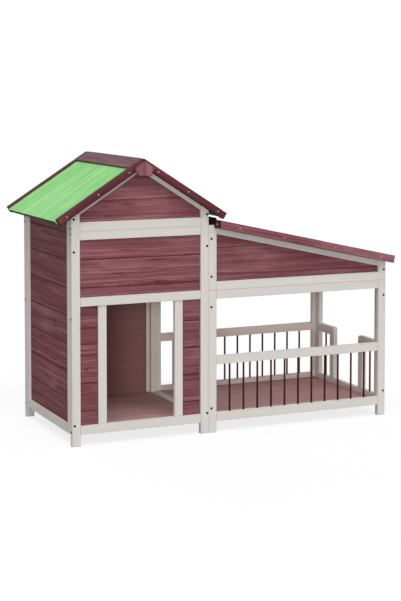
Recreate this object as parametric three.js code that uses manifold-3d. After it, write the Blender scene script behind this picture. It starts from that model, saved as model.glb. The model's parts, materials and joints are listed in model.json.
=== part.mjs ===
// A timber dog house: a gabled house on the left and an open run with a lean-to roof on the right.
// Millimetres, +Z up. X runs along the front from the house to the run, Y runs from the front to the back.
// While it is built, X = 0 is the outer face of the house's left wall and Y = 0 the front face.
import * as THREE from 'three';
import { mergeVertices } from 'three/addons/utils/BufferGeometryUtils.js';
import Module from 'manifold-3d';

const wasm = await Module();
wasm.setup();

// ---------------------------------------------------------------- driving sizes
const fit = 0.3; // gap left between two pieces that touch

// Timber
const stickWidth = 34; // face of every frame stick
const stickThickness = 20;
const boardThickness = 10;
const boardRecess = 9; // boards lie this far behind the face of their frame
const plankPitch = 107; // cover width of one tongue-and-groove plank
const grooveWidth = 3;
const grooveDepth = 2.5;
const spindleDiameter = 8;
const spindleSocketDepth = 8;
const spindleSides = 12;

// First groove of each wall above the rail named
const gableFirstJoint = 81; // above the gable rail
const frontPanelFirstJoint = 36; // above the door head rail
const doorBoardsFirstJoint = 54; // above the bottom rail
const wallFirstJoint = 95; // above the bottom rail, side and back walls
const runGableFirstJoint = 26; // above the lower rail of the run's gable frame

// Both units
const kennelDepth = 591; // front face to back face
const legHeight = 45; // clear height under the bottom rails
const floorThickness = 12;
const floorDrop = 20; // floor's top below the bottom rails' top

// House walls
const houseWidth = 570;
const doorWidth = 284;
const doorHeight = 458;
const doorFromLeft = 142; // left side of the doorway from the house's outer face
const jambThickness = 16;
const jambRecess = 4;
const frontPanelHeight = 220; // boards between the door head and the double rail
const gableEdgeHeight = 28.7; // height of the gable boards beside the posts
const liningThickness = 10; // flat lining on the inside of the back wall
const liningInset = 20; // lining's sides from the side frames
const partitionStileWidth = 21; // stiles of the frame between house and run
const sillRise = 2.5; // sill between house and run above the floors

// House roof, depths measured square to the slope
const roofPitch = 32.5; // degrees
const eaveOverhang = 66; // level distance from the side wall to the end of the barge boards
const gableOverhang = 29; // barge board's face in front of the gable
const bargeThickness = 26;
const bargeDepth = 27;
const bargeRise = 7; // barge boards stand this far above the roof panel
const roofPanelThickness = 12;
const eaveLip = 5; // roof panel past the end of the barge boards
const ridgeCapWidth = 66;
const rafterDepth = 23;
const plateThickness = 8; // five-sided plates over the barge boards' joint
const plateHalfWidth = 44;
const plateFootHalfWidth = 24;
const plateHeight = 59;
const plateDrop = 9; // plate's top below the ridge

// Run
const runLength = 808;
const railingHeight = 193; // spindles' free height
const spindleCount = 11;
const runOpeningHeight = 228; // open band above the handrail
const runGableLowHeight = 24.5; // height of the boards at the low end of the run's gable
const runEaveGap = 8.4; // house's right barge board above the run's roof
const runRoofOverhang = 28.5; // past the run's right post
const runFasciaDepth = 32; // depths of the run's roof are plumb
const runRafterDepth = 37.3;
const wingLength = 134; // each side wing, from the side frame's stile to the entrance
const wingSpindleSetback = 50; // spindle from the side frame's stile
const wingCornerRadius = 11;
const beamDepth = 27;
const beamRise = 7.6; // beam's top above the run's roof line
const cleatWidth = 10; // cleat on the beam's front end, beside the fascia
const cleatReach = 17;

// Hinges: a continuous hinge at each lid's high edge
const knuckleRadius = 2;
const pinRadius = 1;
const pinClearance = 0.2;
const leafThickness = 1;
const leafHeight = 17;
const knuckleCount = 9;
const hingeInset = 10; // hinge's ends inside the roof panel's ends
const hingeSides = 12;
const hingeAxisDrop = 1; // hinge axis below the roof's edge beside it

// ---------------------------------------------------------------- finishes
const finish = (color, roughness, metalness = 0) =>
  new THREE.MeshStandardMaterial({ color, roughness, metalness });
const whitewash = finish(0xd2cdc9, 0.75);
const redBrown = finish(0x7d4852, 0.7);
const roofBrown = finish(0x6e323e, 0.65);
const ridgeBrown = finish(0x73505a, 0.65);
const grassGreen = finish(0x8fda87, 0.7);
const floorBrown = finish(0x8c6e6e, 0.8);
const darkSteel = finish(0x2d2226, 0.45, 0.8);

// ---------------------------------------------------------------- derived levels and lines
const railTop = legHeight + stickWidth;
const floorTop = railTop - floorDrop;
const sillTop = floorTop + sillRise;
const doorHeadBottom = railTop + doorHeight;
const doorHeadTop = doorHeadBottom + stickWidth;
const panelRailBottom = doorHeadTop + frontPanelHeight;
const gableRailBottom = panelRailBottom + stickWidth + fit;
const gableRailTop = gableRailBottom + stickWidth;
const backFace = kennelDepth - stickThickness; // front side of the back frames

const pitch = THREE.MathUtils.degToRad(roofPitch);
const ridgeX = houseWidth / 2;
const rafterTopDepth = bargeRise + roofPanelThickness + fit;
const rafterBottomDepth = rafterTopDepth + rafterDepth;
const ridgeHeight = gableRailTop + gableEdgeHeight + rafterBottomDepth / Math.cos(pitch)
  + (ridgeX - stickWidth) * Math.tan(pitch);
const bargeLength = (ridgeX + eaveOverhang) / Math.cos(pitch);
const seamHalf = knuckleRadius + fit; // half the slot that a hinge sits in

// Height of the house roof's layer at a given depth below its top, at x.
function houseRoofLine(x, depth) {
  return ridgeHeight - Math.abs(x - ridgeX) * Math.tan(pitch) - depth / Math.cos(pitch);
}

// Point on a house slope: side -1 is left and 1 is right, along from the ridge, depth square to the slope.
function onSlope(side, along, depth) {
  return [
    ridgeX + side * (along * Math.cos(pitch) - depth * Math.sin(pitch)),
    ridgeHeight - along * Math.sin(pitch) - depth * Math.cos(pitch),
  ];
}

const runLeft = houseWidth + fit;
const runRight = runLeft + runLength;
const runPostInside = runLeft + stickWidth;
const runSillEnd = runLeft + stickThickness;
const runFarInside = runRight - stickWidth;
const handrailBottom = railTop + railingHeight;
const handrailTop = handrailBottom + stickWidth;
const runTopRailBottom = handrailTop + runOpeningHeight;
const runTopRailTop = runTopRailBottom + stickWidth;
const runGableBottom = runTopRailTop + fit;

const rightBargeCorner = onSlope(1, bargeLength, bargeDepth);
const runRafterTopDrop = bargeRise + roofPanelThickness + fit;
const runRafterBottomDrop = runRafterTopDrop + runRafterDepth;
const runLowLine = runGableBottom + stickWidth + runGableLowHeight + runRafterBottomDrop;
const runSlope = (rightBargeCorner[1] - runEaveGap - runLowLine) / (runFarInside - rightBargeCorner[0]);
const runPitch = Math.atan(runSlope);

// Height of the run roof's layer at a given plumb depth below its top, at x.
function runRoofLine(x, drop) {
  return runLowLine + (runFarInside - x) * runSlope - drop;
}

const beamBottom = runRoofLine(runPostInside, 0) + beamRise - beamDepth;
const runHingeX = runPostInside + seamHalf;
const runLidStart = runHingeX + seamHalf;
const runLidEnd = runRight + runRoofOverhang;

const bargeBack = -gableOverhang + bargeThickness; // inner face of the front barge boards
const roofBackStart = kennelDepth - bargeBack; // inner face of the back barge boards
const roofBackEnd = kennelDepth + gableOverhang;
const roofPanelSpan = [bargeBack + fit, roofBackStart - fit];

// ---------------------------------------------------------------- shaping helpers
const kennel = new THREE.Group();
const houseLid = new THREE.Group();
const runLid = new THREE.Group();
kennel.add(houseLid, runLid);

function add(name, geometry, material, parent = kennel) {
  const mesh = new THREE.Mesh(geometry, material);
  mesh.name = name;
  parent.add(mesh);
  return mesh;
}

// A straight stick or sheet between two limits on each axis.
function boxBetween([x0, x1], [y0, y1], [z0, z1]) {
  const box = new THREE.BoxGeometry(x1 - x0, y1 - y0, z1 - z0);
  return box.translate((x0 + x1) / 2, (y0 + y1) / 2, (z0 + z1) / 2);
}

function shapeOf(points, hole) {
  const shape = new THREE.Shape(points.map(([a, b]) => new THREE.Vector2(a, b)));
  if (hole) shape.holes.push(new THREE.Path(hole.map(([a, b]) => new THREE.Vector2(a, b))));
  return shape;
}

// An outline in the XZ plane carried along Y.
function alongY(shape, [y0, y1]) {
  const body = new THREE.ExtrudeGeometry(shape, { depth: y1 - y0, bevelEnabled: false });
  return body.rotateX(Math.PI / 2).translate(0, y1, 0);
}

// An outline in the YZ plane carried along X.
function alongX(shape, [x0, x1], curveSegments = 6) {
  const body = new THREE.ExtrudeGeometry(shape, { depth: x1 - x0, bevelEnabled: false, curveSegments });
  const turn = new THREE.Matrix4().makeBasis(
    new THREE.Vector3(0, 1, 0), new THREE.Vector3(0, 0, 1), new THREE.Vector3(1, 0, 0));
  return body.applyMatrix4(turn).translate(x0, 0, 0);
}

function rod(radius, sides, length) {
  return new THREE.CylinderGeometry(radius, radius, length, sides);
}

const uprightRod = (radius, x, y, [z0, z1]) =>
  rod(radius, spindleSides, z1 - z0).rotateX(Math.PI / 2).translate(x, y, (z0 + z1) / 2);

const levelRod = (radius, x, z, [y0, y1]) =>
  rod(radius, hingeSides, y1 - y0).rotateY(Math.PI / hingeSides).translate(x, (y0 + y1) / 2, z);

function solidOf(geometry) {
  const bare = geometry.clone();
  bare.deleteAttribute('normal');
  bare.deleteAttribute('uv');
  const welded = mergeVertices(bare);
  return new wasm.Manifold(new wasm.Mesh({
    numProp: 3,
    vertProperties: welded.attributes.position.array,
    triVerts: new Uint32Array(welded.index.array),
  }));
}

function geometryOf(solid) {
  const { vertProperties, triVerts } = solid.getMesh();
  const geometry = new THREE.BufferGeometry();
  geometry.setAttribute('position', new THREE.BufferAttribute(vertProperties, 3));
  geometry.setIndex(new THREE.BufferAttribute(triVerts, 1));
  geometry.computeVertexNormals();
  return geometry;
}

const joined = (...parts) => geometryOf(parts.map(solidOf).reduce((whole, part) => whole.add(part)));
const cutBy = (body, ...tools) =>
  geometryOf(tools.map(solidOf).reduce((rest, tool) => rest.subtract(tool), solidOf(body)));
const common = (body, limit) => geometryOf(solidOf(body).intersect(solidOf(limit)));

// Section of a wall of planks: level V grooves in its outer face, one at each plank joint.
// The first number of each point is the depth from outer, which points the way inward says.
function plankSection(outer, inward, bottom, top, firstJoint) {
  const points = [[outer, bottom]];
  for (let joint = firstJoint; joint < top - grooveWidth; joint += plankPitch) {
    if (joint < bottom + grooveWidth) continue;
    points.push([outer, joint - grooveWidth / 2]);
    points.push([outer + inward * grooveDepth, joint]);
    points.push([outer, joint + grooveWidth / 2]);
  }
  const inner = outer + inward * boardThickness;
  points.push([outer, top], [inner, top], [inner, bottom]);
  return shapeOf(points);
}

const planksAlongX = (xSpan, outer, inward, [bottom, top], firstJoint) =>
  alongX(plankSection(outer, inward, bottom, top, firstJoint), xSpan);
const planksAlongY = (ySpan, outer, inward, [bottom, top], firstJoint) =>
  alongY(plankSection(outer, inward, bottom, top, firstJoint), ySpan);

const shrunk = ([low, high]) => [low + fit, high - fit];

// A rectangular ring of sticks in the YZ plane, between the front and back frames.
function sideRing([x0, x1], bottom, top, stileWidth = stickWidth, sillTop = bottom + stickWidth) {
  const [y0, y1] = shrunk([stickThickness, backFace]);
  const outline = [[y0, bottom], [y1, bottom], [y1, top], [y0, top]];
  const [v0, v1] = [y0 + stileWidth, y1 - stileWidth];
  const [w0, w1] = [sillTop, top - stickWidth];
  return alongX(shapeOf(outline, [[v0, w0], [v1, w0], [v1, w1], [v0, w1]]), [x0, x1]);
}

// Everything above the underside of the house roof, as a tool that trims what stands under it.
const roofTrimReach = 2 * eaveOverhang;
const aboveRafters = alongY(shapeOf([
  [-roofTrimReach, houseRoofLine(-roofTrimReach, rafterTopDepth)],
  [ridgeX, houseRoofLine(ridgeX, rafterTopDepth)],
  [houseWidth + roofTrimReach, houseRoofLine(-roofTrimReach, rafterTopDepth)],
  [houseWidth + roofTrimReach, 2 * ridgeHeight],
  [-roofTrimReach, 2 * ridgeHeight],
]), [-kennelDepth, 2 * kennelDepth]);

// ---------------------------------------------------------------- house, front and back frames
// inward is 1 for the front frame and -1 for the back one; face is the frame's outer side.
function gableWall(prefix, face, inward) {
  const span = (from, to) => [face + inward * from, face + inward * to].sort((a, b) => a - b);
  const frameSpan = span(0, stickThickness);
  const between = [stickWidth + fit, houseWidth - stickWidth - fit];
  const post = (name, x0, x1) => add(name, alongY(shapeOf([
    [x0, 0], [x1, 0], [x1, houseRoofLine(x1, rafterTopDepth)], [x0, houseRoofLine(x0, rafterTopDepth)],
  ]), frameSpan), whitewash);
  post(`house_${prefix}_left_post`, 0, stickWidth);
  post(`house_${prefix}_right_post`, houseWidth - stickWidth, houseWidth);
  const rail = (name, bottom) =>
    add(name, boxBetween(between, frameSpan, [bottom, bottom + stickWidth]), whitewash);
  rail(`house_${prefix}_bottom_rail`, legHeight);
  rail(`${prefix}_gable_rail`, gableRailBottom);

  const [left, right] = between;
  add(`${prefix}_gable_rafters`, alongY(shapeOf([
    [left, houseRoofLine(left, rafterBottomDepth)],
    [ridgeX, houseRoofLine(ridgeX, rafterBottomDepth)],
    [right, houseRoofLine(right, rafterBottomDepth)],
    [right, houseRoofLine(right, rafterTopDepth)],
    [ridgeX, houseRoofLine(ridgeX, rafterTopDepth)],
    [left, houseRoofLine(left, rafterTopDepth)],
  ]), frameSpan), whitewash);

  const boardsDepth = rafterBottomDepth + fit;
  const gableLimit = alongY(shapeOf([
    [left, gableRailTop + fit], [right, gableRailTop + fit], [right, houseRoofLine(right, boardsDepth)],
    [ridgeX, houseRoofLine(ridgeX, boardsDepth)], [left, houseRoofLine(left, boardsDepth)],
  ]), frameSpan);
  const boardFace = face + inward * boardRecess;
  const gablePlanks = planksAlongX(between, boardFace, inward, [gableRailTop, ridgeHeight],
    gableRailTop + gableFirstJoint);
  add(`${prefix}_gable_boards`, common(gablePlanks, gableLimit), redBrown);
  return { frameSpan, between, boardFace, rail };
}

const front = gableWall('front', 0, 1);
front.rail('door_head_rail', doorHeadBottom);
front.rail('front_panel_top_rail', panelRailBottom);

const jambSpan = [jambRecess, jambRecess + jambThickness];
const doorRight = doorFromLeft + doorWidth;
const doorLevels = shrunk([railTop, doorHeadBottom]);
add('door_left_jamb',
  boxBetween([doorFromLeft - stickWidth, doorFromLeft], jambSpan, doorLevels), whitewash);
add('door_right_jamb', boxBetween([doorRight, doorRight + stickWidth], jambSpan, doorLevels), whitewash);
add('door_left_boards', planksAlongX(shrunk([stickWidth, doorFromLeft - stickWidth]), front.boardFace, 1,
  doorLevels, railTop + doorBoardsFirstJoint), redBrown);
add('door_right_boards',
  planksAlongX(shrunk([doorRight + stickWidth, houseWidth - stickWidth]), front.boardFace, 1,
    doorLevels, railTop + doorBoardsFirstJoint), redBrown);
add('front_panel_boards', planksAlongX(front.between, front.boardFace, 1,
  shrunk([doorHeadTop, panelRailBottom]), doorHeadTop + frontPanelFirstJoint), redBrown);

// The back wall has planks between its sticks and a flat lining inside them, joined where they touch.
const back = gableWall('back', kennelDepth, -1);
const backLevels = shrunk([railTop, gableRailBottom]);
const backPlanks = planksAlongX(back.between, back.boardFace, -1, backLevels, railTop + wallFirstJoint);
const lining = boxBetween(
  [stickThickness + liningInset, houseWidth - stickThickness - liningInset],
  [backFace - fit - liningThickness, backFace - fit], [floorTop + fit, gableRailTop]);
const grooveFloor = back.boardFace - grooveDepth;
const liningRoot = boxBetween(back.between, [backFace - 2 * fit, grooveFloor - fit], backLevels);
add('back_wall_boards', joined(backPlanks, liningRoot, lining), redBrown);

// ---------------------------------------------------------------- house, side walls and floor
const sideTop = houseRoofLine(stickThickness, rafterTopDepth);
const leftWallX = [0, stickThickness];
add('left_wall_frame', cutBy(sideRing(leftWallX, legHeight, sideTop), aboveRafters), whitewash);
const sideBoardsSpan = shrunk([stickThickness + fit + stickWidth, backFace - fit - stickWidth]);
add('left_wall_boards', planksAlongY(sideBoardsSpan, boardRecess, 1,
  shrunk([railTop, sideTop - stickWidth]), railTop + wallFirstJoint), redBrown);

const partitionX = [houseWidth - stickThickness, houseWidth];
const headerSpan = [stickThickness + partitionStileWidth, backFace - partitionStileWidth]; // into both stiles
const header = boxBetween(partitionX, headerSpan, [doorHeadBottom, doorHeadTop]);
const partitionRing = sideRing(partitionX, legHeight, sideTop, partitionStileWidth, sillTop);
const runSill = boxBetween([houseWidth - stickThickness / 2, runSillEnd], shrunk([stickThickness, backFace]),
  [legHeight, sillTop]);
add('partition_frame', cutBy(joined(partitionRing, header, runSill), aboveRafters), whitewash);
const partitionBoardsSpan = shrunk([headerSpan[0] + fit, headerSpan[1] - fit]);
add('partition_boards', planksAlongY(partitionBoardsSpan, houseWidth - boardRecess, -1,
  shrunk([doorHeadTop, sideTop - stickWidth]), railTop + wallFirstJoint), redBrown);

const floorSpan = shrunk([stickThickness, backFace]);
const floorLevels = [floorTop - floorThickness, floorTop];
add('house_floor',
  boxBetween(shrunk([stickThickness, houseWidth - stickThickness]), floorSpan, floorLevels), floorBrown);
add('run_floor',
  boxBetween(shrunk([runSillEnd, runRight - stickThickness]), floorSpan, floorLevels), floorBrown);

// ---------------------------------------------------------------- house roof
// A layer of one slope between two depths, plumb at the ridge and square at the eave.
function slopeLayer(side, depthTop, depthBottom, length, ySpan) {
  const start = (depth) => (seamHalf + depth * Math.sin(pitch)) / Math.cos(pitch);
  return alongY(shapeOf([
    onSlope(side, start(depthTop), depthTop), onSlope(side, length, depthTop),
    onSlope(side, length, depthBottom), onSlope(side, start(depthBottom), depthBottom),
  ]), ySpan);
}

const frontBargeSpan = [-gableOverhang, bargeBack];
const backBargeSpan = [roofBackStart, roofBackEnd];
const panelBottom = bargeRise + roofPanelThickness;
for (const [sideName, side, parent] of [['left', -1, houseLid], ['right', 1, kennel]]) {
  add(`roof_${sideName}_panel`,
    slopeLayer(side, bargeRise, panelBottom, bargeLength + eaveLip, roofPanelSpan), grassGreen, parent);
  add(`roof_${sideName}_ridge_cap`,
    slopeLayer(side, 0, bargeRise - fit, ridgeCapWidth, roofPanelSpan), ridgeBrown, parent);
  add(`roof_${sideName}_front_barge`,
    slopeLayer(side, 0, bargeDepth, bargeLength, frontBargeSpan), roofBrown, parent);
  add(`roof_${sideName}_back_barge`,
    slopeLayer(side, 0, bargeDepth, bargeLength, backBargeSpan), roofBrown, parent);
}

const plateTop = ridgeHeight - plateDrop;
const plateShoulder = plateTop - plateHalfWidth * Math.tan(pitch);
const plateFoot = plateTop - plateHeight;
const plateShape = shapeOf([
  [ridgeX - plateFootHalfWidth, plateFoot], [ridgeX + plateFootHalfWidth, plateFoot],
  [ridgeX + plateHalfWidth, plateShoulder], [ridgeX, plateTop], [ridgeX - plateHalfWidth, plateShoulder],
]);
const plateFaces = {
  front: [-gableOverhang - fit - plateThickness, -gableOverhang - fit],
  back: [roofBackEnd + fit, roofBackEnd + fit + plateThickness],
};
for (const [end, span] of Object.entries(plateFaces)) {
  add(`${end}_ridge_plate`, alongY(plateShape, span), roofBrown);
}

// ---------------------------------------------------------------- continuous hinges
// One half of a hinge whose axis lies along Y: side -1 is the half left of the axis and 1 the right one.
// The half with the pin has solid knuckles and the long pin; the other turns on the pin.
function hingeHalf(side, axisX, axisZ, hasPin) {
  const [y0, y1] = [roofPanelSpan[0] + hingeInset, roofPanelSpan[1] - hingeInset];
  const pitchAlong = (y1 - y0) / knuckleCount;
  const leafOuter = axisX + side * knuckleRadius;
  const leafX = [leafOuter, leafOuter - side * leafThickness].sort((a, b) => a - b);
  const leafTop = axisZ - knuckleRadius - fit;
  const outline = [[y0, axisZ - leafHeight], [y1, axisZ - leafHeight], [y1, leafTop]];
  const knuckles = [];
  for (let i = knuckleCount - 1; i >= 0; i -= 1) {
    const [from, to] = shrunk([y0 + i * pitchAlong, y0 + (i + 1) * pitchAlong]);
    if (i % 2 === (hasPin ? 1 : 0)) continue;
    outline.push([to, leafTop], [to, axisZ], [from, axisZ], [from, leafTop]);
    knuckles.push(levelRod(knuckleRadius, axisX, axisZ, [from, to]));
  }
  outline.push([y0, leafTop]);
  const whole = joined(alongX(shapeOf(outline), leafX), ...knuckles);
  if (hasPin) return joined(whole, levelRod(pinRadius, axisX, axisZ, [y0 + 2 * fit, y1 - 2 * fit]));
  return cutBy(whole, levelRod(pinRadius + pinClearance, axisX, axisZ, [y0, y1]));
}

const ridgeAxisZ = houseRoofLine(ridgeX - seamHalf, 0) - hingeAxisDrop;
add('ridge_hinge_fixed_leaf', hingeHalf(1, ridgeX, ridgeAxisZ, true), darkSteel);
add('ridge_hinge_lid_leaf', hingeHalf(-1, ridgeX, ridgeAxisZ, false), darkSteel, houseLid);
const runAxisZ = runRoofLine(runLidStart, 0) - hingeAxisDrop;
add('run_hinge_fixed_leaf', hingeHalf(-1, runHingeX, runAxisZ, true), darkSteel);
add('run_hinge_lid_leaf', hingeHalf(1, runHingeX, runAxisZ, false), darkSteel, runLid);

// ---------------------------------------------------------------- run, front and back frames
const runBetween = shrunk([runPostInside, runFarInside]);
const spindlePitch = (runFarInside - runPostInside) / (spindleCount + 1);
const spindleXs = Array.from({ length: spindleCount }, (_, i) => runPostInside + (i + 1) * spindlePitch);
const spindleRadius = spindleDiameter / 2;

function spindleRow(y, levels, radius = spindleRadius) {
  return spindleXs.map((x) => uprightRod(radius, x, y, levels));
}

// The frame of the run's gable: a level rail, two stiles and a sloped rafter, joined.
function runGableFrame(ySpan) {
  const sill = runGableBottom + stickWidth;
  const rafterTop = (x) => runRoofLine(x, runRafterTopDrop);
  const rafterBottom = (x) => runRoofLine(x, runRafterBottomDrop);
  const outline = [
    [runLeft, runGableBottom], [runRight, runGableBottom], [runRight, rafterTop(runRight)],
    [runPostInside, rafterTop(runPostInside)], [runPostInside, beamBottom - fit], [runLeft, beamBottom - fit],
  ];
  const hole = [
    [runPostInside, sill], [runFarInside, sill], [runFarInside, rafterBottom(runFarInside)],
    [runPostInside, rafterBottom(runPostInside)],
  ];
  return alongY(shapeOf(outline, hole), ySpan);
}

// The boards that fill that frame, let in behind its outer face.
function runGableBoards(face, inward) {
  const [left, right] = runBetween;
  const sill = runGableBottom + stickWidth + fit;
  const topAt = (x) => runRoofLine(x, runRafterBottomDrop) - fit;
  const faces = [face + inward * boardRecess, face + inward * (boardRecess + boardThickness)];
  const limit = alongY(shapeOf([[left, sill], [right, sill], [right, topAt(right)], [left, topAt(left)]]),
    faces.sort((a, b) => a - b));
  const planks = planksAlongX(runBetween, face + inward * boardRecess, inward, [sill, topAt(left)],
    runGableBottom + stickWidth + runGableFirstJoint);
  return common(planks, limit);
}

for (const [end, face, inward] of [['front', 0, 1], ['back', kennelDepth, -1]]) {
  const ySpan = [face, face + inward * stickThickness].sort((a, b) => a - b);
  const post = (x0) => boxBetween([x0, x0 + stickWidth], ySpan, [0, runTopRailTop]);
  add(`run_${end}_left_post`, post(runLeft), whitewash);
  add(`run_${end}_right_post`, post(runFarInside), whitewash);
  add(`run_${end}_top_rail`,
    boxBetween(runBetween, ySpan, [runTopRailBottom, runTopRailTop]), whitewash);
  add(`run_${end}_gable_frame`, runGableFrame(ySpan), whitewash);
  add(`run_${end}_gable_boards`, runGableBoards(face, inward), redBrown);
}

const frontSpan = [0, stickThickness];
const frontSpindleY = stickThickness / 2;
const bottomRail = (ySpan) => boxBetween(runBetween, ySpan, [legHeight, railTop]);
const handrail = (ySpan) => boxBetween(runBetween, ySpan, [handrailBottom, handrailTop]);
const intoHandrail = handrailBottom + spindleSocketDepth;
const sockets = spindleRow(frontSpindleY, [railTop - spindleSocketDepth, railTop + fit], spindleRadius + fit);
add('run_front_bottom_rail', cutBy(bottomRail(frontSpan), ...sockets), whitewash);
add('run_front_railing', joined(handrail(frontSpan),
  ...spindleRow(frontSpindleY, [railTop - spindleSocketDepth + fit, intoHandrail])), whitewash);

const backSpan = [backFace, kennelDepth];
const backSpindleY = kennelDepth - stickThickness / 2;
add('run_back_railing', joined(bottomRail(backSpan), handrail(backSpan),
  ...spindleRow(backSpindleY, [railTop - spindleSocketDepth, intoHandrail])), whitewash);

// ---------------------------------------------------------------- run, side frame with its two wings
const sideFrameX = [runRight - stickThickness, runRight];
add('run_side_frame', sideRing(sideFrameX, legHeight, runRoofLine(runRight, runRafterTopDrop)), whitewash);

// A wing is a half-height upside-down L beside the entrance, with one spindle under its rail.
function wing(start, direction) {
  const at = (distance) => start + direction * distance;
  const shape = new THREE.Shape();
  shape.moveTo(at(0), handrailBottom);
  shape.lineTo(at(wingLength - stickWidth), handrailBottom);
  shape.lineTo(at(wingLength - stickWidth), railTop + fit);
  shape.lineTo(at(wingLength), railTop + fit);
  shape.lineTo(at(wingLength), handrailTop - wingCornerRadius);
  shape.quadraticCurveTo(at(wingLength), handrailTop, at(wingLength - wingCornerRadius), handrailTop);
  shape.lineTo(at(0), handrailTop);
  const spindle = uprightRod(spindleRadius, runRight - stickThickness / 2, at(wingSpindleSetback),
    [railTop + fit, intoHandrail]);
  return joined(alongX(shape, sideFrameX), spindle);
}

const stileInside = stickThickness + fit + stickWidth; // inner edge of the side frame's front stile
add('run_side_front_wing', wing(stileInside + fit, 1), whitewash);
add('run_side_back_wing', wing(kennelDepth - stileInside - fit, -1), whitewash);

// ---------------------------------------------------------------- run roof
const beamTop = (x) => runRoofLine(x, -beamRise);
const beam = alongY(shapeOf([
  [runLeft, beamBottom], [runPostInside, beamBottom],
  [runPostInside, beamTop(runPostInside)], [runLeft, beamTop(runLeft)],
]), [0, kennelDepth]);
const cleatX = [runPostInside - cleatWidth, runPostInside];
const cleatTop = runRoofLine(runPostInside, 0);
const cleat = boxBetween(cleatX, [-cleatReach, -fit], [cleatTop - runFasciaDepth, cleatTop]);
const cleatRoot = boxBetween(cleatX, [-stickThickness / 2, stickThickness / 2], [beamBottom, cleatTop]);
add('run_roof_beam', joined(beam, cleat, cleatRoot), roofBrown);

// A layer of the run's roof between two plumb depths; its low end is square to the slope.
function runRoofLayer(dropTop, dropBottom, ySpan) {
  const endAt = (drop) => runLidEnd - drop * Math.sin(runPitch) * Math.cos(runPitch);
  const corner = (x, drop) => [x, runRoofLine(x, drop)];
  return alongY(shapeOf([
    corner(runLidStart, dropBottom), corner(endAt(dropBottom), dropBottom),
    corner(endAt(dropTop), dropTop), corner(runLidStart, dropTop),
  ]), ySpan);
}

add('run_roof_panel',
  runRoofLayer(bargeRise, panelBottom, roofPanelSpan), grassGreen, runLid);
add('run_roof_front_fascia', runRoofLayer(0, runFasciaDepth, frontBargeSpan), roofBrown, runLid);
add('run_roof_back_fascia', runRoofLayer(0, runFasciaDepth, backBargeSpan), roofBrown, runLid);

// ---------------------------------------------------------------- origin: middle of the base
const extent = new THREE.Box3().setFromObject(kennel, true);
kennel.position.set(-(extent.min.x + extent.max.x) / 2, -(extent.min.y + extent.max.y) / 2, -extent.min.z);

export default kennel;
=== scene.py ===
"""Looks of a timber dog house with a railed run.

Every stick, plank, panel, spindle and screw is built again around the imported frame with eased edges,
and each one carries its own grain. Metres, +Z up, X from the house to the run, Y from front to back.
"""
import json
import math

import bpy
import numpy as np
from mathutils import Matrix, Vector


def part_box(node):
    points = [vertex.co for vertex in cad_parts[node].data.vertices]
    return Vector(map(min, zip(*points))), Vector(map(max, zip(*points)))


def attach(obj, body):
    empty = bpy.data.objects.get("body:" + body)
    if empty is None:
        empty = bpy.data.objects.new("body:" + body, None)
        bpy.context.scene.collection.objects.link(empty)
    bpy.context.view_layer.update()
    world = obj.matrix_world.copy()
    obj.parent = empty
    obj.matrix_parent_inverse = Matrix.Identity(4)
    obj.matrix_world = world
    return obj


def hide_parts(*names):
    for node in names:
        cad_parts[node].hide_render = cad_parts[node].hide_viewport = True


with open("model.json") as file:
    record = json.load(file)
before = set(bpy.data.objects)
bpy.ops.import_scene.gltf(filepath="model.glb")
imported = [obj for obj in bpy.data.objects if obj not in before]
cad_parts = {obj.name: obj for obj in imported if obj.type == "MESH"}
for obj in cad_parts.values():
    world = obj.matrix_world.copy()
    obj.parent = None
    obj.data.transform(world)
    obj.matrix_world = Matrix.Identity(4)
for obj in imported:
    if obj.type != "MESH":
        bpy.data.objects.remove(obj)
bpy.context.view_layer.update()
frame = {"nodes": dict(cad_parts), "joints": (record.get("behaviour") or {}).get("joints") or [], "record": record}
NODES = frame["nodes"]
draw = np.random.default_rng(20)

# ---------------------------------------------------------------- sizes
FIT = 0.0003  # gap between two pieces that touch
NEAR = 0.0001  # corners within this of a face lie on it
CORNER = 0.0006  # radius of a stick's corners
CORNER_STEPS = 2
FRAME_EASE = (0.0009, 0.0009)  # eased edge of frame sticks: across the face, and into it
PLANK_EASE = (0.0018, 0.0028)  # chamfer of a plank's outer edges, which makes the V joint
PLANK_BACK_EASE = (0.0005, 0.0005)
PANEL_EASE = (0.0007, 0.0007)
EDGE_MASK_MARGIN = 0.0035  # how far the edge colour reaches in from an edge: wear, and painted shade and highlight on the roof trim and the green panel
END_MARGIN = 0.0004  # a point this near the end of its stick lies on the end grain
TONGUE = (0.003, 0.003)  # tongue's height each way from a joint, and its thickness
SPINDLE_RADIUS = 0.004
SPINDLE_EASE = 0.0008  # length over which a spindle's ends narrow
SPINDLE_SIDES = 20
SPINDLE_COUNT = 11
SOCKET = 0.008  # how far a spindle goes into a rail
WING_SPINDLE = 0.050  # from the side frame's stile


# ---------------------------------------------------------------- reading the frame
def corners(node):
    """Every corner of a CAD node, as an n by 3 array."""
    mesh = NODES[node].data
    flat = np.empty(len(mesh.vertices) * 3, np.float32)
    mesh.vertices.foreach_get("co", flat)
    return flat.reshape(-1, 3).astype(float)


PLANES = {"x": (1, 2), "y": (0, 2), "z": (0, 1)}  # the plane square to each axis
AXIS = {"x": 0, "y": 1, "z": 2}


def hull(points):
    """The convex outline round some points of a plane, anticlockwise, without points on a straight side."""
    points = np.unique(np.round(points, 6), axis=0)

    def chain(row):
        kept = []
        for p in row:
            while len(kept) > 1 and turn(kept[-2], kept[-1], p) <= 2e-8:
                kept.pop()
            kept.append(p)
        return kept[:-1]

    return np.array(chain(points) + chain(points[::-1]))


def turn(a, b, c):
    """Twice the area of the triangle a, b, c, above 0 where it turns left."""
    return (b[0] - a[0]) * (c[1] - a[1]) - (b[1] - a[1]) * (c[0] - a[0])


def outline_of(node, carry, keep=None):
    """A CAD node's outline seen along an axis, of all its corners or of those that keep picks."""
    found = corners(node)
    if keep is not None:
        found = found[keep(found)]
    return hull(found[:, PLANES[carry]])


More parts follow.
